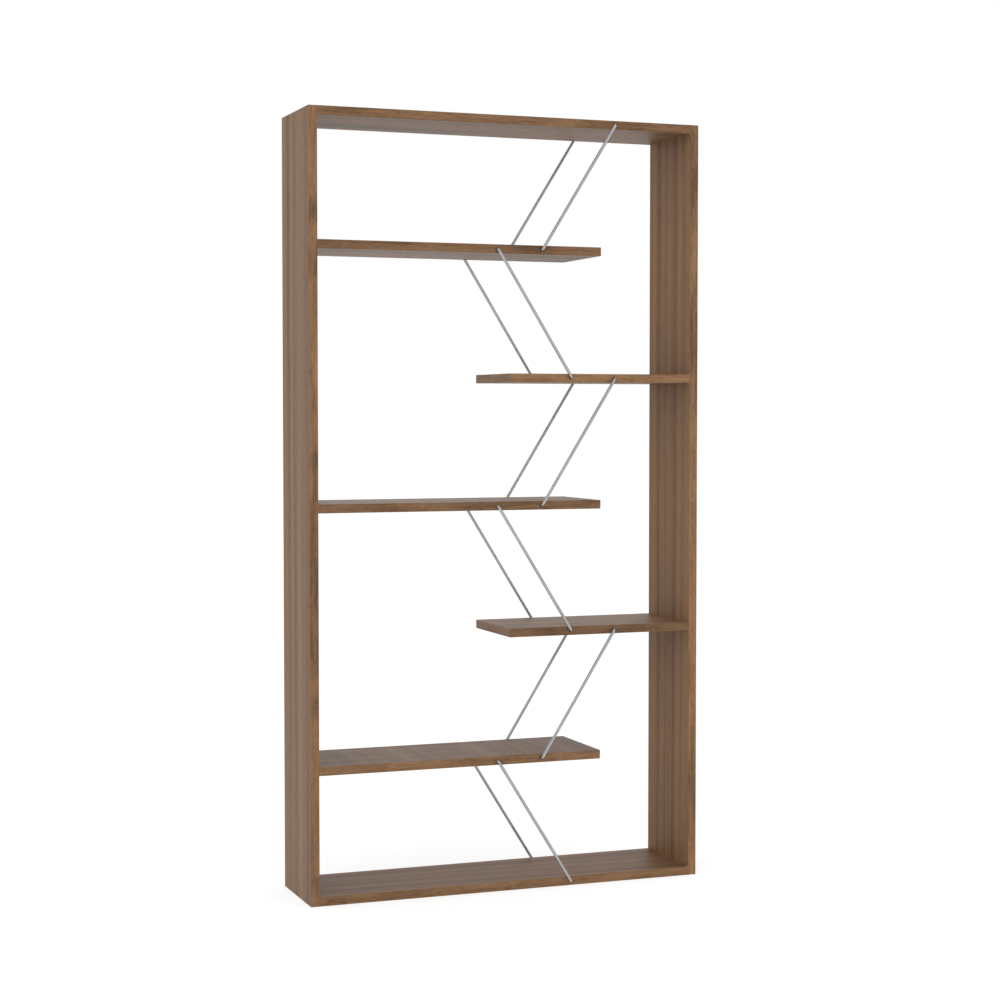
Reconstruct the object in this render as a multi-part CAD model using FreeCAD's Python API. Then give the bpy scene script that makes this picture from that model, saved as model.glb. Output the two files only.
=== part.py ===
"""Zigzag bookshelf: a walnut-look frame, five half-width shelves and bent chrome rods between them.

Millimetres. X runs along the shelves, Y from front to back, Z up. The origin is on the floor,
below the middle of the frame.
"""

import FreeCAD, Part
import math
import os

from FreeCAD import Vector

# Frame and boards
overall_width = 900.0
overall_height = 1685.0
board_depth = 215.0
board_thickness = 19.0
band_thickness = 0.8

# Shelves: long ones on the left side, short ones on the right side
long_shelf_length = 645.0
short_shelf_length = 431.0

# Rods: their holes are measured from the free end of the shelf that holds them
rod_diameter = 6.5
rod_bend_radius = 7.0
rod_leg_length = 25.0
rod_hole_clearance = 0.2
long_shelf_hole_inset = 141.0
short_shelf_hole_inset = 143.0
rod_hole_spacing = 103.0

# Cam fittings: a cam in the shelf turns behind the head of a bolt in the side panel
cam_diameter = 14.6
cam_reach = 34.0
cam_edge_distance = 37.0
cam_roof = 1.0
cam_slot_width = 2.0
cam_slot_depth = 2.5
eye_level = 1000.0
bolt_diameter = 5.0
bolt_thread_length = 11.0
bolt_head_diameter = 7.0
bolt_head_length = 5.0

# Dowels
dowel_diameter = 8.0
dowel_side_length = 11.0
dowel_shelf_length = 19.0

# Fits
fitting_clearance = 0.2
hole_spare_depth = 1.0
cut_overrun = 2.0

# Counts: the small round forms that repeat are drawn with flats
rod_bend_corners = 2
rod_hole_sides = 10
cam_sides = 10
fitting_sides = 8

# Boards from the floor up, with the end that each is fixed at: -1 left, +1 right
LEVELS = [
    ("bottom_panel", (-1, 1)),
    ("left_shelf_lower", (-1,)),
    ("right_shelf_lower", (1,)),
    ("left_shelf_middle", (-1,)),
    ("right_shelf_upper", (1,)),
    ("left_shelf_upper", (-1,)),
    ("top_panel", (-1, 1)),
]
SIDES = {"left_side_panel": -1, "right_side_panel": 1}
FACES = {"front": -1, "back": 1}

# Places worked out from the sizes above
bay_count = len(LEVELS) - 1
level_pitch = (overall_height - board_thickness) / bay_count
half_thickness = board_thickness / 2
half_depth = board_depth / 2
core_half_depth = half_depth - band_thickness
inner_half_width = overall_width / 2 - board_thickness
long_shelf_end = -inner_half_width + long_shelf_length
short_shelf_end = inner_half_width - short_shelf_length
cam_places = (cam_edge_distance - half_depth, half_depth - cam_edge_distance)
dowel_places = (0.0,)


def block(x_low, x_high, y_low, y_high, z_low, z_high):
    """A box between two corners."""
    return Part.makeBox(x_high - x_low, y_high - y_low, z_high - z_low, Vector(x_low, y_low, z_low))


def bar(start, run, across_flats, sides):
    """A bar with flats, from a point along a run."""
    turned = FreeCAD.Rotation(Vector(0, 0, 1), run)
    corner_radius = across_flats / 2 / math.cos(math.pi / sides)
    corners = []
    for corner in range(sides):
        angle = math.pi * (2 * corner + 1) / sides
        spoke = Vector(corner_radius * math.cos(angle), corner_radius * math.sin(angle), 0)
        corners.append(start + turned.multVec(spoke))
    outline = Part.makePolygon(corners + corners[:1])
    return Part.Face(outline).extrude(run)


def span(ends):
    """The lowest and highest X of a board that is fixed at these ends."""
    if len(ends) == len(SIDES):
        return -inner_half_width, inner_half_width
    if -1 in ends:
        return -inner_half_width, long_shelf_end
    return short_shelf_end, inner_half_width


def middle_height(level):
    """Z at the middle of a board's thickness."""
    return level * level_pitch + half_thickness


def rod_hole_places(level):
    """X where the rod above stands on a board, and X where the rod below hangs from it."""
    on_left = LEVELS[level][1] == (-1,)
    if on_left:
        near = long_shelf_end - long_shelf_hole_inset
        return near, near - rod_hole_spacing
    near = short_shelf_end + short_shelf_hole_inset
    return near, near + rod_hole_spacing


def rod_holes(level):
    """The blind holes in a board's front and back edges that take the rods' ends."""
    above, below = rod_hole_places(level)
    places = []
    if level < bay_count:
        places.append(above)
    if level > 0:
        places.append(below)
    across = rod_diameter + 2 * rod_hole_clearance
    depth = rod_leg_length + hole_spare_depth + cut_overrun
    holes = []
    for x in places:
        for face in FACES.values():
            mouth = Vector(x, face * (half_depth + cut_overrun), middle_height(level))
            holes.append(bar(mouth, Vector(0, -face * depth, 0), across, rod_hole_sides))
    return holes


def cam_opening(level):
    """+1 where a board's cams are turned from above, -1 where from below: always the face out of sight."""
    return 1 if middle_height(level) > eye_level else -1


def cam_height():
    """From the board's face to the cam's roof over the bolt head."""
    return half_thickness + bolt_head_diameter / 2 + cam_roof


def fitting_holes(level, ends):
    """Holes in a board for its cams, cam bolts and dowels."""
    z = middle_height(level)
    up = cam_opening(level)
    cam_mouth = z + up * (half_thickness + cut_overrun)
    cam_run = Vector(0, 0, -up * (cam_height() + fitting_clearance + cut_overrun))
    bolt_across = bolt_head_diameter + 2 * fitting_clearance
    dowel_across = dowel_diameter + 2 * fitting_clearance
    dowel_run = dowel_shelf_length + hole_spare_depth + cut_overrun
    holes = []
    for end in ends:
        mouth = end * (inner_half_width + cut_overrun)
        cam_x = end * (inner_half_width - cam_reach)
        for y in cam_places:
            cam_across = cam_diameter + 2 * fitting_clearance
            holes.append(bar(Vector(cam_x, y, cam_mouth), cam_run, cam_across, cam_sides))
            bolt_run = Vector(-end * (cam_reach + cut_overrun), 0, 0)
            holes.append(bar(Vector(mouth, y, z), bolt_run, bolt_across, fitting_sides))
        for y in dowel_places:
            holes.append(bar(Vector(mouth, y, z), Vector(-end * dowel_run, 0, 0), dowel_across, fitting_sides))
    return holes


def horizontal_board(level):
    """One shelf, top or bottom panel and its edge bands."""
    name, ends = LEVELS[level]
    x_low, x_high = span(ends)
    z_low = level * level_pitch
    z_high = z_low + board_thickness
    core_low = x_low if -1 in ends else x_low + band_thickness
    core_high = x_high if 1 in ends else x_high - band_thickness
    sockets = rod_holes(level)
    core = block(core_low, core_high, -core_half_depth, core_half_depth, z_low, z_high)
    pieces = {name: core.cut(sockets + fitting_holes(level, ends))}
    for label, face in FACES.items():
        y_low, y_high = sorted((face * core_half_depth, face * half_depth))
        strip = block(x_low, x_high, y_low, y_high, z_low, z_high)
        pieces[name + "_" + label + "_band"] = strip.cut(sockets)
    if core_low > x_low:
        pieces[name + "_end_band"] = block(x_low, core_low, -core_half_depth, core_half_depth, z_low, z_high)
    if core_high < x_high:
        pieces[name + "_end_band"] = block(core_high, x_high, -core_half_depth, core_half_depth, z_low, z_high)
    return pieces


def joint_levels(side):
    """The boards that are fixed to a side panel."""
    return [level for level, (name, ends) in enumerate(LEVELS) if side in ends]


def side_holes(side):
    """Blind holes in a side panel's inner face for cam bolts and dowels."""
    mouth = side * (inner_half_width - cut_overrun)
    bolt_run = Vector(side * (bolt_thread_length + hole_spare_depth + cut_overrun), 0, 0)
    dowel_run = Vector(side * (dowel_side_length + hole_spare_depth + cut_overrun), 0, 0)
    bolt_across = bolt_diameter + 2 * fitting_clearance
    dowel_across = dowel_diameter + 2 * fitting_clearance
    holes = []
    for level in joint_levels(side):
        z = middle_height(level)
        for y in cam_places:
            holes.append(bar(Vector(mouth, y, z), bolt_run, bolt_across, fitting_sides))
        for y in dowel_places:
            holes.append(bar(Vector(mouth, y, z), dowel_run, dowel_across, fitting_sides))
    return holes


def side_board(name, side):
    """One side panel, banded at the front, the back and the top."""
    x_low, x_high = sorted((side * inner_half_width, side * overall_width / 2))
    core_top = overall_height - band_thickness
    core = block(x_low, x_high, -core_half_depth, core_half_depth, 0, core_top)
    pieces = {name: core.cut(side_holes(side))}
    for label, face in FACES.items():
        y_low, y_high = sorted((face * core_half_depth, face * half_depth))
        pieces[name + "_" + label + "_band"] = block(x_low, x_high, y_low, y_high, 0, overall_height)
    top = block(x_low, x_high, -core_half_depth, core_half_depth, core_top, overall_height)
    pieces[name + "_top_band"] = top
    return pieces


def bend(foot, along, inward):
    """The corners of a right-angle bend from a leg that comes out of a hole into the rod's shank."""
    centre = foot + along * rod_bend_radius
    turn = math.pi / 2 / rod_bend_corners
    corner_radius = rod_bend_radius / math.cos(turn / 2)
    corners = []
    for corner in range(rod_bend_corners):
        angle = (corner + 0.5) * turn
        offset = along * math.cos(angle) + inward * math.sin(angle)
        corners.append(centre - offset * corner_radius)
    return corners


def rod(level, face):
    """The rod in the bay above a board: a slanted shank with both ends turned into the boards' edges."""
    edge = face * half_depth
    low_foot = Vector(rod_hole_places(level)[0], edge, middle_height(level))
    high_foot = Vector(rod_hole_places(level + 1)[1], edge, middle_height(level + 1))
    inward = Vector(0, -face, 0)
    along = (high_foot - low_foot).normalize()
    leg = inward * rod_leg_length
    path = [low_foot + leg] + bend(low_foot, along, inward)
    path += list(reversed(bend(high_foot, -along, inward))) + [high_foot + leg]
    section = Part.Wire([Part.Circle(path[0], inward, rod_diameter / 2).toShape()])
    mitred = 1
    return Part.makePolygon(path).makePipeShell([section], True, True, mitred)


def rods():
    """All rods, numbered from the top bay down."""
    pieces = {}
    for label, face in FACES.items():
        for level in reversed(range(bay_count)):
            number = bay_count - level
            pieces[label + "_rod_" + str(number)] = rod(level, face)
    return pieces


def cam(level, end, y):
    """A cam lying flush in its board, slotted for a screwdriver and open towards the bolt."""
    z = middle_height(level)
    up = cam_opening(level)
    x = end * (inner_half_width - cam_reach)
    mouth = z + up * half_thickness
    body = bar(Vector(x, y, mouth), Vector(0, 0, -up * cam_height()), cam_diameter, cam_sides)
    slot_low, slot_high = sorted((mouth, mouth - up * cam_slot_depth))
    slot_half = cam_slot_width / 2
    slot = block(x - slot_half, x + slot_half, y - cam_diameter, y + cam_diameter, slot_low, slot_high)
    head_half = bolt_head_diameter / 2 + fitting_clearance
    head_reach = bolt_head_length / 2 + fitting_clearance
    pocket = block(x - head_reach, x + head_reach, y - head_half, y + head_half, z - head_half, z + head_half)
    shank_half = bolt_diameter / 2 + fitting_clearance
    rim_low, rim_high = sorted((x, x + end * cam_diameter))
    throat = block(rim_low, rim_high, y - shank_half, y + shank_half, z - shank_half, z + shank_half)
    return body.cut([slot, pocket, throat])


def cam_bolt(level, end, y):
    """A bolt screwed into the side panel, with its head held in the cam."""
    z = middle_height(level)
    tip = end * (inner_half_width + bolt_thread_length)
    head_start = end * (inner_half_width - cam_reach + bolt_head_length / 2)
    shank = bar(Vector(tip, y, z), Vector(head_start - tip, 0, 0), bolt_diameter, fitting_sides)
    head_run = Vector(-end * bolt_head_length, 0, 0)
    head = bar(Vector(head_start, y, z), head_run, bolt_head_diameter, fitting_sides)
    return shank.fuse(head)


def dowel(level, end, y):
    """A wooden dowel, part in the side panel and part in the board."""
    start = Vector(end * (inner_half_width + dowel_side_length), y, middle_height(level))
    run = Vector(-end * (dowel_side_length + dowel_shelf_length), 0, 0)
    return bar(start, run, dowel_diameter, fitting_sides)


def fittings():
    """All cams, cam bolts and dowels, each kind as one group."""
    cams = []
    bolts = []
    dowels = []
    for level, (name, ends) in enumerate(LEVELS):
        for end in ends:
            for y in cam_places:
                cams.append(cam(level, end, y))
                bolts.append(cam_bolt(level, end, y))
            for y in dowel_places:
                dowels.append(dowel(level, end, y))
    groups = {"cams": cams, "cam_bolts": bolts, "dowels": dowels}
    return {name: Part.makeCompound(solids) for name, solids in groups.items()}


def bookshelf():
    """Every piece of the bookshelf by its name."""
    pieces = {}
    for name, side in SIDES.items():
        pieces.update(side_board(name, side))
    for level in range(len(LEVELS)):
        pieces.update(horizontal_board(level))
    pieces.update(rods())
    pieces.update(fittings())
    return pieces


os.makedirs("parts", exist_ok=True)
for piece_name, shape in bookshelf().items():
    shape.exportStep("parts/" + piece_name + ".step")
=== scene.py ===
"""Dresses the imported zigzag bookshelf: walnut boards, edge bands, bent chrome rods, fittings and a studio."""

import math

import bmesh
import bpy
from bpy.props import FloatProperty, FloatVectorProperty, IntProperty, PointerProperty
from bpy.types import Operator, Panel, PropertyGroup
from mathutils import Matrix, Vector


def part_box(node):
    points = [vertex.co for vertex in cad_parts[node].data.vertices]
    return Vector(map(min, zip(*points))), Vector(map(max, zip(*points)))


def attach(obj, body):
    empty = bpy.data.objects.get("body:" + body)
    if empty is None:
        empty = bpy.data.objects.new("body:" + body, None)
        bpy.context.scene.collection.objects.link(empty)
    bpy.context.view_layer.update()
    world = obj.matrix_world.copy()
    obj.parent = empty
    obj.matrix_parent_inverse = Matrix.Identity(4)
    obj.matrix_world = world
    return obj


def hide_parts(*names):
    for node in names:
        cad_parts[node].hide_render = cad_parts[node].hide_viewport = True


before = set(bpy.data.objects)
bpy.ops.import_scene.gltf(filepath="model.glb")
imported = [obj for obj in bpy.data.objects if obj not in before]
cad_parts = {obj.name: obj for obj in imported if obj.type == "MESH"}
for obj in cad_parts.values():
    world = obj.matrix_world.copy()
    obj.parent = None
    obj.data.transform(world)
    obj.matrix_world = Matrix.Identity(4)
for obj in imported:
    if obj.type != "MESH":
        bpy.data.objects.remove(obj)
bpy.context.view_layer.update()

bl_info = {
    "name": "Zigzag Bookshelf",
    "version": (1, 0, 0),
    "blender": (4, 5, 0),
    "location": "3D View > Sidebar > Bookshelf",
    "description": "Faces the bookshelf's boards with walnut, bends its chrome rods and sets up a white studio",
    "category": "Object",
}

BODY = "root"

SIDE_PANELS = ("left_side_panel", "right_side_panel")

# The print on each board: its grain's axis, where the tree's heart lies (across the board and behind its face),
# how far the heart leans along the board, the shares of broad streaks, fine lines and cross ripple, its tone,
# its gloss and a seed.
BOARD_FIGURES = {
    "left_side_panel": {
        "grain": "Z", "heart": (0.24, 0.05), "lean": 0.012, "broad": 0.2, "lines": 0.4, "ripple": 0,
        "tone": 0.54, "gloss": 0.22, "seed": 1.3,
    },
    "right_side_panel": {
        "grain": "Z", "heart": (-0.22, 0.05), "lean": 0.012, "broad": 0.2, "lines": 0.4, "ripple": 0,
        "tone": 0.6, "gloss": 0.15, "seed": 4.6,
    },
    "top_panel": {
        "grain": "X", "heart": (0.05, 0.07), "lean": 0.05, "broad": 0.5, "lines": 0.42, "ripple": 0,
        "tone": 0.5, "gloss": 0.38, "seed": 7.2,
    },
    "bottom_panel": {
        "grain": "X", "heart": (-0.16, 0.06), "lean": 0.04, "broad": 0.4, "lines": 0.42, "ripple": 0,
        "tone": 0.475, "gloss": 0.28, "seed": 11.9,
    },
    "left_shelf_upper": {
        "grain": "X", "heart": (0.03, 0.06), "lean": 0.07, "broad": 0.4, "lines": 0.36, "ripple": 0.1,
        "tone": 0.48, "gloss": 0.48, "seed": 14.4,
    },
    "left_shelf_middle": {
        "grain": "X", "heart": (-0.05, 0.07), "lean": -0.06, "broad": 0.4, "lines": 0.36, "ripple": 0.1,
        "tone": 0.42, "gloss": 0.85, "seed": 17.1,
    },
    "left_shelf_lower": {
        "grain": "X", "heart": (0.02, 0.05), "lean": 0.06, "broad": 0.1, "lines": 0.24, "ripple": 0.3,
        "tone": 0.42, "gloss": 0.38, "seed": 21.7,
    },
    "right_shelf_upper": {
        "grain": "X", "heart": (-0.04, 0.06), "lean": 0.06, "broad": 0.4, "lines": 0.36, "ripple": 0.1,
        "tone": 0.5, "gloss": 0.42, "seed": 24.2,
    },
    "right_shelf_lower": {
        "grain": "X", "heart": (0.06, 0.06), "lean": -0.06, "broad": 0.4, "lines": 0.36, "ripple": 0.14,
        "tone": 0.45, "gloss": 0.46, "seed": 28.5,
    },
}

# Darker places in the print, measured from the middle of the piece: streaks across a side panel, patches along an
# edge strip. Each has its place, its half width and how far it lowers the tone.
DARK_PLACES = {
    "left_side_panel": (
        (0.057, 0.022, 0.10), (0.011, 0.016, 0.10), (-0.085, 0.017, 0.09), (-0.102, 0.018, 0.08),
    ),
    "right_side_panel": (
        (0.058, 0.022, 0.14), (0.019, 0.012, 0.09), (-0.028, 0.020, 0.12), (-0.072, 0.012, 0.08),
    ),
    "left_side_panel_front_band": (
        (0.623, 0.040, 0.12), (0.517, 0.060, 0.09), (0.103, 0.045, 0.10), (0.010, 0.090, 0.08),
        (-0.090, 0.110, 0.11), (-0.190, 0.110, 0.11), (-0.290, 0.080, 0.08), (-0.416, 0.040, 0.09),
        (-0.790, 0.040, 0.08),
    ),
    "right_side_panel_front_band": ((0.740, 0.180, 0.12), (0.350, 0.190, 0.14), (-0.640, 0.160, 0.11)),
    "top_panel_front_band": ((0.340, 0.200, 0.07), (0.190, 0.050, 0.05), (-0.350, 0.100, 0.08)),
    "left_shelf_upper_front_band": ((0.161, 0.085, 0.14), (-0.305, 0.040, 0.06)),
    "left_shelf_middle_front_band": ((0.050, 0.090, 0.05), (0.150, 0.110, 0.10)),
    "right_shelf_lower_front_band": ((-0.135, 0.050, 0.05), (0.081, 0.050, 0.03)),
    "left_shelf_lower_front_band": ((0.108, 0.150, 0.05),),
    "bottom_panel_front_band": ((-0.400, 0.050, 0.10), (-0.300, 0.120, 0.06)),
}

# How light each strip's print is; a back strip is printed like the front one.
BAND_LIGHTNESS = {
    "left_side_panel_front_band": 1.27,
    "right_side_panel_front_band": 1.33,
    "top_panel_front_band": 1.12,
    "bottom_panel_front_band": 1.22,
    "left_shelf_upper_front_band": 1.01,
    "right_shelf_upper_front_band": 1.32,
    "right_shelf_upper_end_band": 1.15,
    "left_shelf_middle_front_band": 0.98,
    "right_shelf_lower_front_band": 0.88,
    "right_shelf_lower_end_band": 1.15,
    "left_shelf_lower_front_band": 1.22,
}
PLAIN_BAND_LIGHTNESS = 1.1
BAND_SEED_STEP = 0.7

# How often each noise of the print changes, per metre: along the grain, across it and through it. A board's
# streaks and lines follow its growth rings instead: across the rings, along the board and by the board's seed.
BOARD_STREAKS = (30, 0.25, 1)
BOARD_LINES = (150, 0.6, 1)
BOARD_WANDER = (1.2, 7, 7)
BOARD_FIBRES = (7, 900, 900)
BOARD_RIPPLE = (22, 0.9, 0.9)
BOARD_PORES = (46, 1500, 1500)
BAND_BLOTCHES = (9, 70, 70)
BAND_STREAKS = (3.5, 150, 150)
BAND_FIBRES = (14, 900, 900)
BAND_SPECKLES = (60, 240, 240)
BAND_PORES = (55, 1500, 1500)
SWAY_PACE_ACROSS = 5

# Where the dark, the middle and the light colour stand on the scale of tones.
BOARD_TONES = (0.34, 0.47, 0.64)
BAND_TONES = (0.36, 0.48, 0.62)
BAND_MIDDLE_TONE = 0.5

FIBRE_SHARE = 0.08
RING_UNEVENNESS = 0.02
PORES_IN_DARK_LINES = 0.14
BOARD_PORE_DARKNESS = 0.55
BAND_PORE_DARKNESS = 0.35
BAND_EMBOSS = 0.00008
RUBBED_WIDTH = 0.0012

# The same paces for metal, along the rod last, and for the dowels, along the dowel first.
DRAWING_LINES = (2600, 2600, 9)
HANDLING_HAZE = (70, 70, 22)
METAL_CLOUDS = (160, 160, 160)
METAL_SPECKS = (1400, 1400, 1400)
DOWEL_GRAIN = (30, 900, 900)
DOWEL_FLECKS = (120, 1800, 1800)
DOWEL_EMBOSS = 0.00005

JOINING_DISTANCE = 0.000001
SHARP_ANGLE = math.radians(60)

ROD_COUNT = 6
ROD_SHARP_ANGLE = math.radians(35)

# Each lamp's place and the point that it faces.
KEY_LAMP = ((-2.6, -3.4, 3.2), (0, 0, 0.9))
FILL_LAMP = ((2.8, -3.0, 1.8), (0, 0, 0.8))
LAMP_WIDTH = 5

# The floor lies just under the bookshelf. Looked at, it is a grey that takes the shadow, lifted to white.
FLOOR_DROP = 0.0005
FLOOR_GREY = (0.42, 0.42, 0.42)
FLOOR_LIFT = 0.7
WHITE = (1, 1, 1)

SENSOR_WIDTH = 36
VIEW_LIMIT = 200

PLAIN_RESULTS = ("LENGTH", "DOT_PRODUCT")


class WalnutBoard(PropertyGroup):
    """The printed walnut melamine on the boards' faces."""

    dark: FloatVectorProperty(
        name="Dark streak",
        description="Colour of the darkest streaks",
        subtype="COLOR",
        default=(0.080, 0.043, 0.022),
        min=0,
        max=1,
    )
    middle: FloatVectorProperty(
        name="Heartwood",
        description="Colour that covers most of the board",
        subtype="COLOR",
        default=(0.186, 0.096, 0.043),
        min=0,
        max=1,
    )
    light: FloatVectorProperty(
        name="Light streak",
        description="Colour of the lightest streaks",
        subtype="COLOR",
        default=(0.272, 0.149, 0.072),
        min=0,
        max=1,
    )
    pore: FloatVectorProperty(
        name="Pores",
        description="Colour of the fine dashes along the grain",
        subtype="COLOR",
        default=(0.048, 0.028, 0.017),
        min=0,
        max=1,
    )
    roughness: FloatProperty(
        name="Roughness",
        description="Middle roughness of the satin surface",
        subtype="FACTOR",
        default=0.52,
        min=0,
        max=1,
    )
    emboss: FloatProperty(
        name="Emboss",
        description="Depth of the pores pressed into the surface",
        unit="LENGTH",
        default=0.00012,
        min=0,
        precision=5,
    )


class EdgeBand(PropertyGroup):
    """The printed strips on the boards' edges."""

    dark: FloatVectorProperty(
        name="Dark streak",
        description="Colour of the darkest streaks",
        subtype="COLOR",
        default=(0.102, 0.052, 0.0238),
        min=0,
        max=1,
    )
    middle: FloatVectorProperty(
        name="Ground",
        description="Colour that covers most of the strip",
        subtype="COLOR",
        default=(0.185, 0.097, 0.0445),
        min=0,
        max=1,
    )
    light: FloatVectorProperty(
        name="Light streak",
        description="Colour of the lightest streaks",
        subtype="COLOR",
        default=(0.245, 0.140, 0.068),
        min=0,
        max=1,
    )
    pore: FloatVectorProperty(
        name="Pores",
        description="Colour of the fine dashes along the strip",
        subtype="COLOR",
        default=(0.060, 0.032, 0.016),
        min=0,
        max=1,
    )
    roughness: FloatProperty(
        name="Roughness",
        description="Middle roughness of the strip",
        subtype="FACTOR",
        default=0.5,
        min=0,
        max=1,
    )
    gloss: FloatProperty(
        name="Gloss",
        description="Strength of the surface's reflection",
        subtype="FACTOR",
        default=0.25,
        min=0,
        max=1,
    )
    wear: FloatProperty(
        name="Edge wear",
        description="How much the strips' long edges are rubbed lighter",
        subtype="FACTOR",
        default=0.25,
        min=0,
        max=1,
    )
    edge_radius: FloatProperty(
        name="Edge radius",
        description="Rounding of the strips' edges",
        unit="LENGTH",
        default=0.0003,
        min=0,
        precision=5,
    )


class ChromeRod(PropertyGroup):
    """The bent rods."""

    diameter: FloatProperty(
        name="Diameter",
        description="Diameter of the rod",
        unit="LENGTH",
        default=0.0065,
        min=0.001,
        precision=4,
    )
    bend_radius: FloatProperty(
        name="Bend radius",
        description="Radius of the rod's axis where it turns into a board",
        unit="LENGTH",
        default=0.007,
        min=0.001,
        precision=4,
    )
    end_chamfer: FloatProperty(
        name="End chamfer",
        description="Chamfer on the rod's cut ends",
        unit="LENGTH",
        default=0.0006,
        min=0,
        precision=4,
    )
    sides: IntProperty(
        name="Sides",
        description="Points round the rod",
        default=40,
        min=8,
    )
    bend_steps: IntProperty(
        name="Bend steps",
        description="Rings along each bend",
        default=12,
        min=2,
    )
    colour: FloatVectorProperty(
        name="Colour",
        description="Tint of the plating",
        subtype="COLOR",
        default=(0.455, 0.466, 0.482),
        min=0,
        max=1,
    )
    # Painted light: the back rods have the same plating as the front rods, but this colour is set lighter and
    # warmer to stand in for the light and the boards' reflection on them.
    back_painted_light_colour: FloatVectorProperty(
        name="Back colour",
        description="Tint of the plating at the back, warmer from the boards in front of it",
        subtype="COLOR",
        default=(0.492, 0.484, 0.471),
        min=0,
        max=1,
    )
    roughness: FloatProperty(
        name="Roughness",
        description="Middle roughness of the plating",
        subtype="FACTOR",
        default=0.44,
        min=0,
        max=1,
    )


class Fittings(PropertyGroup):
    """The cams, cam bolts and dowels."""

    zinc: FloatVectorProperty(
        name="Cam zinc",
        description="Colour of the die-cast cams",
        subtype="COLOR",
        default=(0.46, 0.46, 0.45),
        min=0,
        max=1,
    )
    steel: FloatVectorProperty(
        name="Bolt steel",
        description="Colour of the plated cam bolts",
        subtype="COLOR",
        default=(0.55, 0.54, 0.51),
        min=0,
        max=1,
    )
    beech: FloatVectorProperty(
        name="Dowel beech",
        description="Colour of the dowels",
        subtype="COLOR",
        default=(0.52, 0.35, 0.20),
        min=0,
        max=1,
    )


class Studio(PropertyGroup):
    """Floor, light and camera."""

    floor_size: FloatProperty(
        name="Floor size",
        description="Side of the square floor",
        unit="LENGTH",
        default=60,
        min=1,
    )
    floor_colour: FloatVectorProperty(
        name="Floor colour",
        description="Colour of the floor as it lights the bookshelf",
        subtype="COLOR",
        default=(0.9, 0.9, 0.9),
        min=0,
        max=1,
    )
    ambient: FloatProperty(
        name="Ambient light",
        description="Strength of the white surroundings as a light",
        default=0.8,
        min=0,
    )
    key_power: FloatProperty(
        name="Key power",
        description="Power of the large soft light at the upper left",
        unit="POWER",
        default=60,
        min=0,
    )
    fill_power: FloatProperty(
        name="Fill power",
        description="Power of the soft light at the right",
        unit="POWER",
        default=25,
        min=0,
    )
    camera_place: FloatVectorProperty(
        name="Camera place",
        description="Where the camera stands",
        subtype="TRANSLATION",
        unit="LENGTH",
        default=(-1.62704, -4.34616, 1.04632),
    )
    camera_pan: FloatProperty(
        name="Camera pan",
        description="Turn of the camera to the right of straight ahead",
        subtype="ANGLE",
        default=0.3617,
    )
    camera_tilt: FloatProperty(
        name="Camera tilt",
        description="Turn of the camera below the horizon",
        subtype="ANGLE",
        default=0.0421,
    )
    lens: FloatProperty(
        name="Lens",
        description="Focal length on a 36 mm sensor",
        subtype="DISTANCE_CAMERA",
        unit="CAMERA",
        default=75.31,
        min=1,
    )


class BookshelfSettings(PropertyGroup):
    """Everything that can be changed on the bookshelf."""

    board: PointerProperty(type=WalnutBoard)
    band: PointerProperty(type=EdgeBand)
    rod: PointerProperty(type=ChromeRod)
    fittings: PointerProperty(type=Fittings)
    studio: PointerProperty(type=Studio)


class Nodes:
    """Adds and joins shader nodes in one tree."""

    def __init__(self, tree):
        self.tree = tree

    def feed(self, socket, value):
        """Links a socket to another one, or sets its value."""
        if isinstance(value, bpy.types.NodeSocket):
            self.tree.links.new(value, socket)
        elif socket.type == "RGBA":
            socket.default_value = (*value, 1)
        else:
            socket.default_value = value

    def add(self, kind, settings=None, **inputs):
        """A new node with its settings and inputs."""
        node = self.tree.nodes.new("ShaderNode" + kind)
        for name, value in (settings or {}).items():
            setattr(node, name, value)
        for name, value in inputs.items():
            self.feed(node.inputs[name.replace("_", " ")], value)
        return node

    def math(self, operation, *values):
        """One step of arithmetic."""
        node = self.add("Math", {"operation": operation})
        for socket, value in zip(node.inputs, values):
            self.feed(socket, value)
        return node.outputs[0]

    def vector_math(self, operation, *values):
        """One step of vector arithmetic."""
        node = self.add("VectorMath", {"operation": operation})
        for socket, value in zip(node.inputs, values):
            self.feed(socket, value)
        return node.outputs["Value" if operation in PLAIN_RESULTS else "Vector"]

    def noise(self, space, pace, detail=2, roughness=0.5):
        """Noise with its own pace along each axis, per metre."""
        scaled = self.vector_math("MULTIPLY", space, pace)
        node = self.add("TexNoise", Vector=scaled, Scale=1, Detail=detail, Roughness=roughness)
        return node.outputs["Fac"]

    def between(self, value, low, high, to_low=0, to_high=1):
        """A soft step from low to high."""
        node = self.add("MapRange", {"interpolation_type": "SMOOTHSTEP"}, Value=value)
        ends = {"From Min": low, "From Max": high, "To Min": to_low, "To Max": to_high}
        for name, number in ends.items():
            self.feed(node.inputs[name], number)
        return node.outputs["Result"]

    def mix(self, share, first, second):
        """Two colours mixed, by the sockets that the node keeps for colours."""
        node = self.add("Mix", {"data_type": "RGBA"})
        for place, value in ((0, share), (6, first), (7, second)):
            self.feed(node.inputs[place], value)
        return node.outputs[2]

    def ramp(self, value, places, colours):
        """Colours at set places along a value."""
        node = self.add("ValToRGB", Fac=value)
        elements = node.color_ramp.elements
        while len(elements) < len(places):
            elements.new(1)
        for element, place, colour in zip(elements, places, colours):
            element.position = place
            element.color = (*colour, 1)
        return node.outputs["Color"]

    def lit_or_seen(self, lighting, showing):
        """One shader as a light, another for looks at it: straight, by mirror or through glass."""
        path = self.add("LightPath").outputs
        mirrored = self.math("MAXIMUM", path["Is Camera Ray"], path["Is Glossy Ray"])
        both = self.add("MixShader", Fac=self.math("MAXIMUM", mirrored, path["Is Transmission Ray"]))
        self.feed(both.inputs[1], lighting)
        self.feed(both.inputs[2], showing)
        return both.outputs[0]


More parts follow.
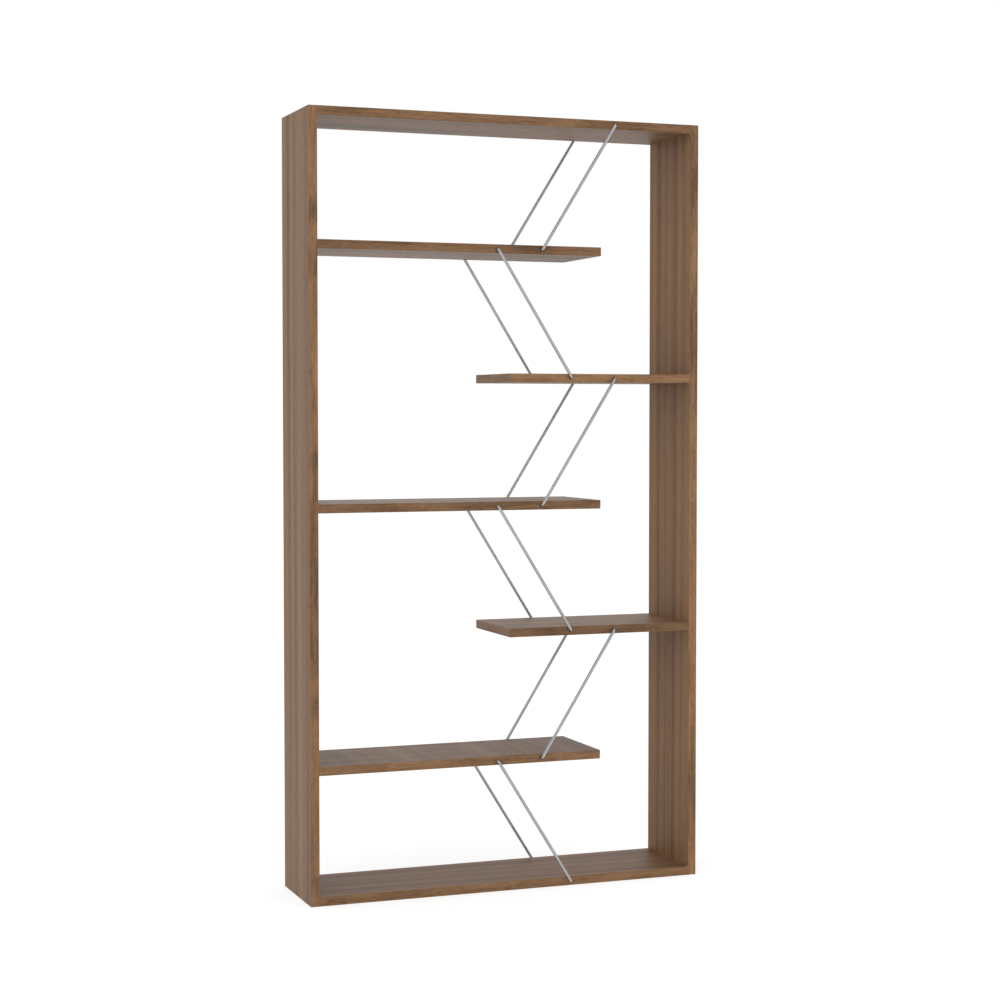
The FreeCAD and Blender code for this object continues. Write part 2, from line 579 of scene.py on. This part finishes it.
def clean_nodes(owner):
    """A node builder on the emptied tree of a material or a world."""
    owner.use_nodes = True
    owner.node_tree.nodes.clear()
    return Nodes(owner.node_tree)


def new_material(name):
    """A material, made or made again, with its node builder and its shader."""
    material = bpy.data.materials.get(name) or bpy.data.materials.new(name)
    nodes = clean_nodes(material)
    shader = nodes.add("BsdfPrincipled")
    nodes.add("OutputMaterial", Surface=shader.outputs[0])
    return material, nodes, shader


def put(name, data):
    """An object in the scene, in place of an earlier one of that name."""
    earlier = bpy.data.objects.get(name)
    if earlier:
        bpy.data.objects.remove(earlier)
    piece = bpy.data.objects.new(name, data)
    bpy.context.scene.collection.objects.link(piece)
    return piece


def grain_space(nodes, grain, middle):
    """Coordinates along the grain, across it and through it, in metres from a middle point."""
    place = nodes.add("TexCoord").outputs["Object"]
    axes = nodes.add("SeparateXYZ", Vector=nodes.vector_math("SUBTRACT", place, middle)).outputs
    along, across, through = {"X": "XYZ", "Y": "YXZ", "Z": "ZYX"}[grain]
    return nodes.add("CombineXYZ", X=axes[along], Y=axes[across], Z=axes[through]).outputs[0]


def band_grain(node):
    """The axis that an edge strip runs along."""
    if node.endswith(("_end_band", "_top_band")):
        return "Y"
    return "Z" if node.startswith(SIDE_PANELS) else "X"


def sway(nodes, space, pace, reach):
    """Lets the grain wander from side to side."""
    wander = nodes.noise(space, (pace, SWAY_PACE_ACROSS, SWAY_PACE_ACROSS), detail=1)
    aside = nodes.math("MULTIPLY_ADD", wander, 2 * reach, -reach)
    return nodes.vector_math("ADD", space, nodes.add("CombineXYZ", Y=aside, Z=aside).outputs[0])


def tinted(colour, share):
    """A colour made darker, or lighter by a share over 1."""
    return tuple(share * part for part in colour)


def weigh(nodes, *parts, start=0):
    """The sum of values, each times its share."""
    total = start
    for value, share in parts:
        total = nodes.math("MULTIPLY_ADD", value, share, total)
    return total


def tone_of(nodes, middle, *parts):
    """Noises weighed about a middle tone."""
    return weigh(nodes, *parts, start=middle - sum(share for noise, share in parts) / 2)


def darken(nodes, space, axis, tone, places):
    """Lowers the tone at set places along an axis."""
    position = nodes.add("SeparateXYZ", Vector=space).outputs[axis]
    for place, half_width, depth in places:
        aside = nodes.math("ABSOLUTE", nodes.math("SUBTRACT", position, place))
        shadow = nodes.between(aside, low=0, high=half_width, to_low=depth, to_high=0)
        tone = nodes.math("SUBTRACT", tone, shadow)
    return tone


def bump(nodes, shader, height, depth):
    """Raises the surface by a height from 0 to 1, times a depth."""
    raised = nodes.add("Bump", Height=height, Strength=1, Distance=depth)
    nodes.feed(shader.inputs["Normal"], raised.outputs["Normal"])


def ring_radius(nodes, space, heart, lean):
    """Distance from the tree's heart, which passes a board at a slant and makes long pointed arches."""
    axes = nodes.add("SeparateXYZ", Vector=space).outputs
    across = nodes.math("SUBTRACT", axes["Y"], heart[0])
    depth = nodes.math("ADD", nodes.math("MULTIPLY_ADD", axes["X"], lean, heart[1]), axes["Z"])
    radius = nodes.vector_math("LENGTH", nodes.add("CombineXYZ", X=across, Y=depth).outputs[0])
    uneven = nodes.noise(space, BOARD_WANDER)
    return nodes.math("MULTIPLY_ADD", uneven, RING_UNEVENNESS, radius)


def walnut_board(node, finish, figure):
    """Melamine with a walnut print and pressed pores, cut as one board of its own."""
    material, nodes, shader = new_material("walnut_" + node)
    low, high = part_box(node)
    grain = grain_space(nodes, figure["grain"], (low + high) / 2)
    along = nodes.add("SeparateXYZ", Vector=grain).outputs["X"]
    radius = ring_radius(nodes, grain, figure["heart"], figure["lean"])
    rings = nodes.add("CombineXYZ", X=radius, Y=along, Z=figure["seed"]).outputs[0]
    broad = nodes.noise(rings, BOARD_STREAKS, detail=1)
    lines = nodes.noise(rings, BOARD_LINES, detail=4, roughness=0.62)
    fibre = nodes.noise(grain, BOARD_FIBRES)
    ripple = nodes.noise(grain, BOARD_RIPPLE, detail=1)
    tone = tone_of(
        nodes, figure["tone"],
        (broad, figure["broad"]), (lines, figure["lines"]), (fibre, FIBRE_SHARE), (ripple, figure["ripple"]),
    )
    swaying = sway(nodes, grain, pace=2.2, reach=0.009)
    tone = darken(nodes, swaying, "Y", tone, DARK_PLACES.get(node, ()))
    colour = nodes.ramp(tone, BOARD_TONES, (finish.dark, finish.middle, finish.light))
    flecks = nodes.noise(grain, BOARD_PORES, detail=1)
    crowded = nodes.math("MULTIPLY_ADD", lines, -PORES_IN_DARK_LINES, flecks)
    pores = nodes.between(crowded, low=0.53, high=0.63)
    colour = nodes.mix(nodes.math("MULTIPLY", pores, BOARD_PORE_DARKNESS), colour, finish.pore)
    nodes.feed(shader.inputs["Base Color"], colour)
    shader.inputs["Specular IOR Level"].default_value = figure["gloss"]
    sheen = weigh(nodes, (fibre, 0.12), (pores, 0.1), start=finish.roughness - 0.07)
    nodes.feed(shader.inputs["Roughness"], sheen)
    bump(nodes, shader, weigh(nodes, (fibre, 0.3), (pores, -0.7)), finish.emboss)
    return material


def edge_band(node, finish, lightness, seed):
    """A printed edge strip, its grain along its length and its arrises rubbed lighter."""
    material, nodes, shader = new_material("walnut_" + node)
    light = tinted(finish.light, lightness)
    colours = (tinted(finish.dark, lightness), tinted(finish.middle, lightness), light)
    low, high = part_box(node)
    strip = grain_space(nodes, band_grain(node), (low + high) / 2)
    moved = nodes.vector_math("ADD", strip, (seed, seed, seed))
    space = sway(nodes, moved, pace=4, reach=0.004)
    blotch = nodes.noise(space, BAND_BLOTCHES)
    streak = nodes.noise(space, BAND_STREAKS, detail=3, roughness=0.55)
    fibre = nodes.noise(space, BAND_FIBRES)
    speckle = nodes.noise(space, BAND_SPECKLES, detail=1)
    tone = tone_of(nodes, BAND_MIDDLE_TONE, (blotch, 0.34), (streak, 0.24), (fibre, 0.14), (speckle, 0.2))
    tone = darken(nodes, strip, "X", tone, DARK_PLACES.get(node, ()))
    colour = nodes.ramp(tone, BAND_TONES, colours)
    pores = nodes.between(nodes.noise(space, BAND_PORES, detail=1), low=0.56, high=0.66)
    colour = nodes.mix(nodes.math("MULTIPLY", pores, BAND_PORE_DARKNESS), colour, finish.pore)
    rounded = nodes.add("Bevel", {"samples": 6}, Radius=RUBBED_WIDTH).outputs["Normal"]
    flat = nodes.add("NewGeometry").outputs["Normal"]
    turn = nodes.vector_math("DOT_PRODUCT", rounded, flat)
    rubbed = nodes.between(turn, low=0.99, high=0.85, to_high=finish.wear)
    nodes.feed(shader.inputs["Base Color"], nodes.mix(rubbed, colour, light))
    shader.inputs["Specular IOR Level"].default_value = finish.gloss
    nodes.feed(shader.inputs["Roughness"], weigh(nodes, (fibre, 0.16), start=finish.roughness - 0.08))
    bump(nodes, shader, weigh(nodes, (fibre, 0.4), (pores, -0.6)), BAND_EMBOSS)
    return material


def chrome(name, colour, roughness, lean):
    """Satin plating with faint drawing lines along the rod and a little handling haze."""
    material, nodes, shader = new_material(name)
    place = nodes.add("TexCoord").outputs["Object"]
    along = nodes.add("VectorRotate", {"rotation_type": "Y_AXIS"}, Vector=place, Angle=lean).outputs[0]
    lines = nodes.noise(along, DRAWING_LINES)
    haze = nodes.noise(along, HANDLING_HAZE, detail=3)
    dulled = nodes.between(haze, low=0.35, high=0.7)
    nodes.feed(shader.inputs["Base Color"], nodes.mix(dulled, colour, tinted(colour, 0.88)))
    shader.inputs["Metallic"].default_value = 1
    uneven = weigh(nodes, (lines, 0.04), (haze, 0.14), start=roughness - 0.09)
    nodes.feed(shader.inputs["Roughness"], uneven)
    return material


def cast_metal(name, colour, roughness, pits):
    """Die-cast or plated metal, a little uneven."""
    material, nodes, shader = new_material(name)
    place = nodes.add("TexCoord").outputs["Object"]
    cloud = nodes.noise(place, METAL_CLOUDS, detail=3)
    speck = nodes.noise(place, METAL_SPECKS)
    dulled = nodes.between(cloud, low=0.35, high=0.7)
    nodes.feed(shader.inputs["Base Color"], nodes.mix(dulled, colour, tinted(colour, 0.7)))
    shader.inputs["Metallic"].default_value = 1
    nodes.feed(shader.inputs["Roughness"], weigh(nodes, (cloud, 0.2), start=roughness - 0.1))
    bump(nodes, shader, speck, pits)
    return material


def beech(name, colour):
    """Pale close-grained dowel wood."""
    material, nodes, shader = new_material(name)
    space = grain_space(nodes, "X", (0, 0, 0))
    grain = nodes.noise(space, DOWEL_GRAIN, detail=3)
    flecks = nodes.between(nodes.noise(space, DOWEL_FLECKS, detail=1), low=0.58, high=0.68, to_high=0.6)
    wood = nodes.mix(nodes.between(grain, low=0.35, high=0.65), tinted(colour, 0.72), colour)
    nodes.feed(shader.inputs["Base Color"], nodes.mix(flecks, wood, tinted(colour, 0.45)))
    nodes.feed(shader.inputs["Roughness"], weigh(nodes, (grain, 0.15), start=0.58))
    bump(nodes, shader, grain, DOWEL_EMBOSS)
    return material


def dress(node, material):
    """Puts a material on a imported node."""
    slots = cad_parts[node].data.materials
    slots.clear()
    slots.append(material)


def eased_strip(node, radius, material):
    """A packed strip with its faces joined and its sharp edges eased."""
    form = bmesh.new()
    form.from_mesh(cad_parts[node].data)
    bmesh.ops.remove_doubles(form, verts=form.verts, dist=JOINING_DISTANCE)
    sharp = [edge for edge in form.edges if edge.calc_face_angle(0) > SHARP_ANGLE]
    bmesh.ops.bevel(form, geom=sharp, offset=radius, segments=2, profile=0.5, affect="EDGES")
    name = "eased_" + node
    mesh = bpy.data.meshes.new(name)
    form.to_mesh(mesh)
    form.free()
    mesh.materials.append(material)
    return put(name, mesh)


def bend_points(foot, along, inward, radius, steps):
    """Points and directions round the bend from a leg into the shank."""
    centre = foot + along * radius
    points = []
    for step in range(steps + 1):
        angle = math.pi / 2 * step / steps
        place = centre - (along * math.cos(angle) + inward * math.sin(angle)) * radius
        points.append((place, along * math.sin(angle) - inward * math.cos(angle)))
    return points


def rod_path(node, leans_right, rod):
    """Points and directions along a rod's axis, from one leg's end to the other's."""
    low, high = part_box(node)
    half = rod.diameter / 2
    at_front = low.y < 0
    inward = Vector((0, 1 if at_front else -1, 0))
    shank_y = low.y + half if at_front else high.y - half
    leg_end_y = high.y if at_front else low.y
    edge_y = shank_y + inward.y * rod.bend_radius
    low_x, high_x = low.x + half, high.x - half
    if not leans_right:
        low_x, high_x = high_x, low_x
    low_foot = Vector((low_x, edge_y, low.z + half))
    high_foot = Vector((high_x, edge_y, high.z - half))
    along = (high_foot - low_foot).normalized()
    path = [(Vector((low_x, leg_end_y, low_foot.z)), -inward)]
    path += bend_points(low_foot, along, inward, rod.bend_radius, rod.bend_steps)
    back = bend_points(high_foot, -along, inward, rod.bend_radius, rod.bend_steps)
    path += [(place, -direction) for place, direction in reversed(back)]
    path.append((Vector((high_x, leg_end_y, high_foot.z)), inward))
    return path, along.cross(inward).normalized()


def rod_rings(path, rod):
    """Centres, directions and radii of a rod's rings, with both ends chamfered."""
    half, chamfer = rod.diameter / 2, rod.end_chamfer
    (first, setting_out), *middle, (last, arriving) = path
    return [
        (first, setting_out, half - chamfer),
        (first + setting_out * chamfer, setting_out, half),
        *((place, direction, half) for place, direction in middle),
        (last - arriving * chamfer, arriving, half),
        (last, arriving, half - chamfer),
    ]


def bent_rod(name, path, side, rod, material):
    """A round rod swept along its path."""
    rings = rod_rings(path, rod)
    vertices = []
    for place, direction, radius in rings:
        up = side.cross(direction)
        for step in range(rod.sides):
            angle = 2 * math.pi * step / rod.sides
            vertices.append(place + (up * math.cos(angle) + side * math.sin(angle)) * radius)
    faces = []
    for ring in range(len(rings) - 1):
        first = ring * rod.sides
        for step in range(rod.sides):
            following = (step + 1) % rod.sides
            lower = (first + step, first + following)
            faces.append((*lower, lower[1] + rod.sides, lower[0] + rod.sides))
    last = (len(rings) - 1) * rod.sides
    faces.append(tuple(reversed(range(rod.sides))))
    faces.append(tuple(range(last, last + rod.sides)))
    mesh = bpy.data.meshes.new(name)
    mesh.from_pydata(vertices, [], faces)
    mesh.validate()
    mesh.polygons.foreach_set("use_smooth", [True] * len(mesh.polygons))
    mesh.set_sharp_from_angle(angle=ROD_SHARP_ANGLE)
    mesh.materials.append(material)
    return put(name, mesh)


def soft_light(name, place, target, power):
    """A large square lamp that faces a point."""
    lamp = bpy.data.lights.new(name, "AREA")
    lamp.size = LAMP_WIDTH
    lamp.energy = power
    holder = put(name, lamp)
    holder.location = place
    holder.rotation_euler = (Vector(target) - Vector(place)).to_track_quat("-Z", "Y").to_euler()
    holder.visible_glossy = False


def white_surroundings(studio):
    """White all round: plain light on the bookshelf and a white background."""
    world = bpy.data.worlds.get("white_surroundings") or bpy.data.worlds.new("white_surroundings")
    nodes = clean_nodes(world)
    lighting = nodes.add("Background", Color=WHITE, Strength=studio.ambient).outputs[0]
    showing = nodes.add("Background", Color=WHITE, Strength=1).outputs[0]
    nodes.add("OutputWorld", Surface=nodes.lit_or_seen(lighting, showing))
    bpy.context.scene.world = world


def floor_material(studio):
    """A white floor that keeps the shadow and fades into the background."""
    material = bpy.data.materials.get("studio_floor") or bpy.data.materials.new("studio_floor")
    nodes = clean_nodes(material)
    lighting = nodes.add("BsdfDiffuse", Color=studio.floor_colour).outputs[0]
    shaded = nodes.add("BsdfDiffuse", Color=FLOOR_GREY).outputs[0]
    lifted = nodes.add("Emission", Color=WHITE, Strength=FLOOR_LIFT).outputs[0]
    showing = nodes.add("AddShader")
    nodes.feed(showing.inputs[0], shaded)
    nodes.feed(showing.inputs[1], lifted)
    nodes.add("OutputMaterial", Surface=nodes.lit_or_seen(lighting, showing.outputs[0]))
    return material


def floor(studio):
    """The square floor, just under the bookshelf."""
    half = studio.floor_size / 2
    corners = [(x, y, -FLOOR_DROP) for x, y in ((-half, -half), (half, -half), (half, half), (-half, half))]
    mesh = bpy.data.meshes.new("studio_floor")
    mesh.from_pydata(corners, [], [(0, 1, 2, 3)])
    mesh.materials.append(floor_material(studio))
    return put("studio_floor", mesh)


def photo_camera(studio):
    """The camera, level from side to side, that sees the bookshelf as the photo does."""
    camera = bpy.data.cameras.new("photo_camera")
    camera.lens = studio.lens
    camera.sensor_width = SENSOR_WIDTH
    camera.clip_end = VIEW_LIMIT
    holder = put("photo_camera", camera)
    holder.location = studio.camera_place
    holder.rotation_euler = (math.pi / 2 - studio.camera_tilt, 0, -studio.camera_pan)
    return holder


class BOOKSHELF_OT_boards(Operator):
    """Face the side panels, the top and bottom panels and the shelves with walnut"""

    bl_idname = "bookshelf.boards"
    bl_label = "Face the Boards"

    def execute(self, context):
        finish = context.scene.bookshelf.board
        for node, figure in BOARD_FIGURES.items():
            dress(node, walnut_board(node, finish, figure))
        return {"FINISHED"}


class BOOKSHELF_OT_edge_bands(Operator):
    """Print the walnut strips on the boards' edges"""

    bl_idname = "bookshelf.edge_bands"
    bl_label = "Print the Edge Bands"

    def execute(self, context):
        finish = context.scene.bookshelf.band
        strips = sorted(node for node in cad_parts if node.endswith("_band"))
        for number, node in enumerate(strips):
            lightness = BAND_LIGHTNESS.get(node.replace("_back_", "_front_"), PLAIN_BAND_LIGHTNESS)
            material = edge_band(node, finish, lightness, number * BAND_SEED_STEP)
            piece = eased_strip(node, finish.edge_radius, material)
            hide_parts(node)
            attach(piece, BODY)
        return {"FINISHED"}


class BOOKSHELF_OT_rods(Operator):
    """Bend the twelve rods into the boards' front and back edges"""

    bl_idname = "bookshelf.rods"
    bl_label = "Bend the Rods"

    def execute(self, context):
        rod = context.scene.bookshelf.rod
        low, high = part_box("front_rod_1")
        lean = math.atan2(high.x - low.x - rod.diameter, high.z - low.z - rod.diameter)
        # The front rods take the plating's own tint. The back rods take a colour with painted light and painted
        # reflection of the boards.
        for row, colour in (("front", rod.colour), ("back", rod.back_painted_light_colour)):
            right = chrome(f"chrome_{row}_leaning_right", colour, rod.roughness, -lean)
            left = chrome(f"chrome_{row}_leaning_left", colour, rod.roughness, lean)
            for number in range(1, ROD_COUNT + 1):
                node = f"{row}_rod_{number}"
                leans_right = number % 2 == 1
                path, side = rod_path(node, leans_right, rod)
                piece = bent_rod("bent_" + node, path, side, rod, right if leans_right else left)
                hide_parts(node)
                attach(piece, BODY)
        return {"FINISHED"}


class BOOKSHELF_OT_fittings(Operator):
    """Finish the cams, the cam bolts and the dowels inside the joints"""

    bl_idname = "bookshelf.fittings"
    bl_label = "Finish the Fittings"

    def execute(self, context):
        fittings = context.scene.bookshelf.fittings
        dress("cams", cast_metal("zinc_cam", fittings.zinc, roughness=0.42, pits=0.00004))
        dress("cam_bolts", cast_metal("plated_bolt", fittings.steel, roughness=0.3, pits=0.00001))
        dress("dowels", beech("beech_dowel", fittings.beech))
        return {"FINISHED"}


class BOOKSHELF_OT_stage(Operator):
    """Set up the white floor, the soft light and the camera"""

    bl_idname = "bookshelf.stage"
    bl_label = "Set Up the Studio"

    def execute(self, context):
        studio = context.scene.bookshelf.studio
        floor(studio)
        white_surroundings(studio)
        soft_light("soft_key", *KEY_LAMP, studio.key_power)
        soft_light("soft_fill", *FILL_LAMP, studio.fill_power)
        context.scene.camera = photo_camera(studio)
        context.scene.view_settings.view_transform = "Standard"
        return {"FINISHED"}


class BOOKSHELF_PT_panel(Panel):
    """The bookshelf's steps and what can be changed"""

    bl_label = "Zigzag Bookshelf"
    bl_idname = "BOOKSHELF_PT_panel"
    bl_space_type = "VIEW_3D"
    bl_region_type = "UI"
    bl_category = "Bookshelf"

    def draw(self, context):
        settings = context.scene.bookshelf
        for step, group in STEPS:
            box = self.layout.box()
            box.operator(step.bl_idname)
            values = getattr(settings, group)
            for name in values.__annotations__:
                box.prop(values, name)


STEPS = (
    (BOOKSHELF_OT_boards, "board"),
    (BOOKSHELF_OT_edge_bands, "band"),
    (BOOKSHELF_OT_rods, "rod"),
    (BOOKSHELF_OT_fittings, "fittings"),
    (BOOKSHELF_OT_stage, "studio"),
)
CLASSES = (
    WalnutBoard,
    EdgeBand,
    ChromeRod,
    Fittings,
    Studio,
    BookshelfSettings,
    *(step for step, group in STEPS),
    BOOKSHELF_PT_panel,
)


def register():
    """Makes the settings, the operators and the panel known."""
    for item in CLASSES:
        bpy.utils.register_class(item)
    bpy.types.Scene.bookshelf = PointerProperty(type=BookshelfSettings)


def unregister():
    """Takes away what register added."""
    del bpy.types.Scene.bookshelf
    for item in reversed(CLASSES):
        bpy.utils.unregister_class(item)


def main():
    """Builds the whole scene."""
    register()
    bpy.ops.bookshelf.boards()
    bpy.ops.bookshelf.edge_bands()
    bpy.ops.bookshelf.rods()
    bpy.ops.bookshelf.fittings()
    bpy.ops.bookshelf.stage()


if __name__ == "__main__":
    main()
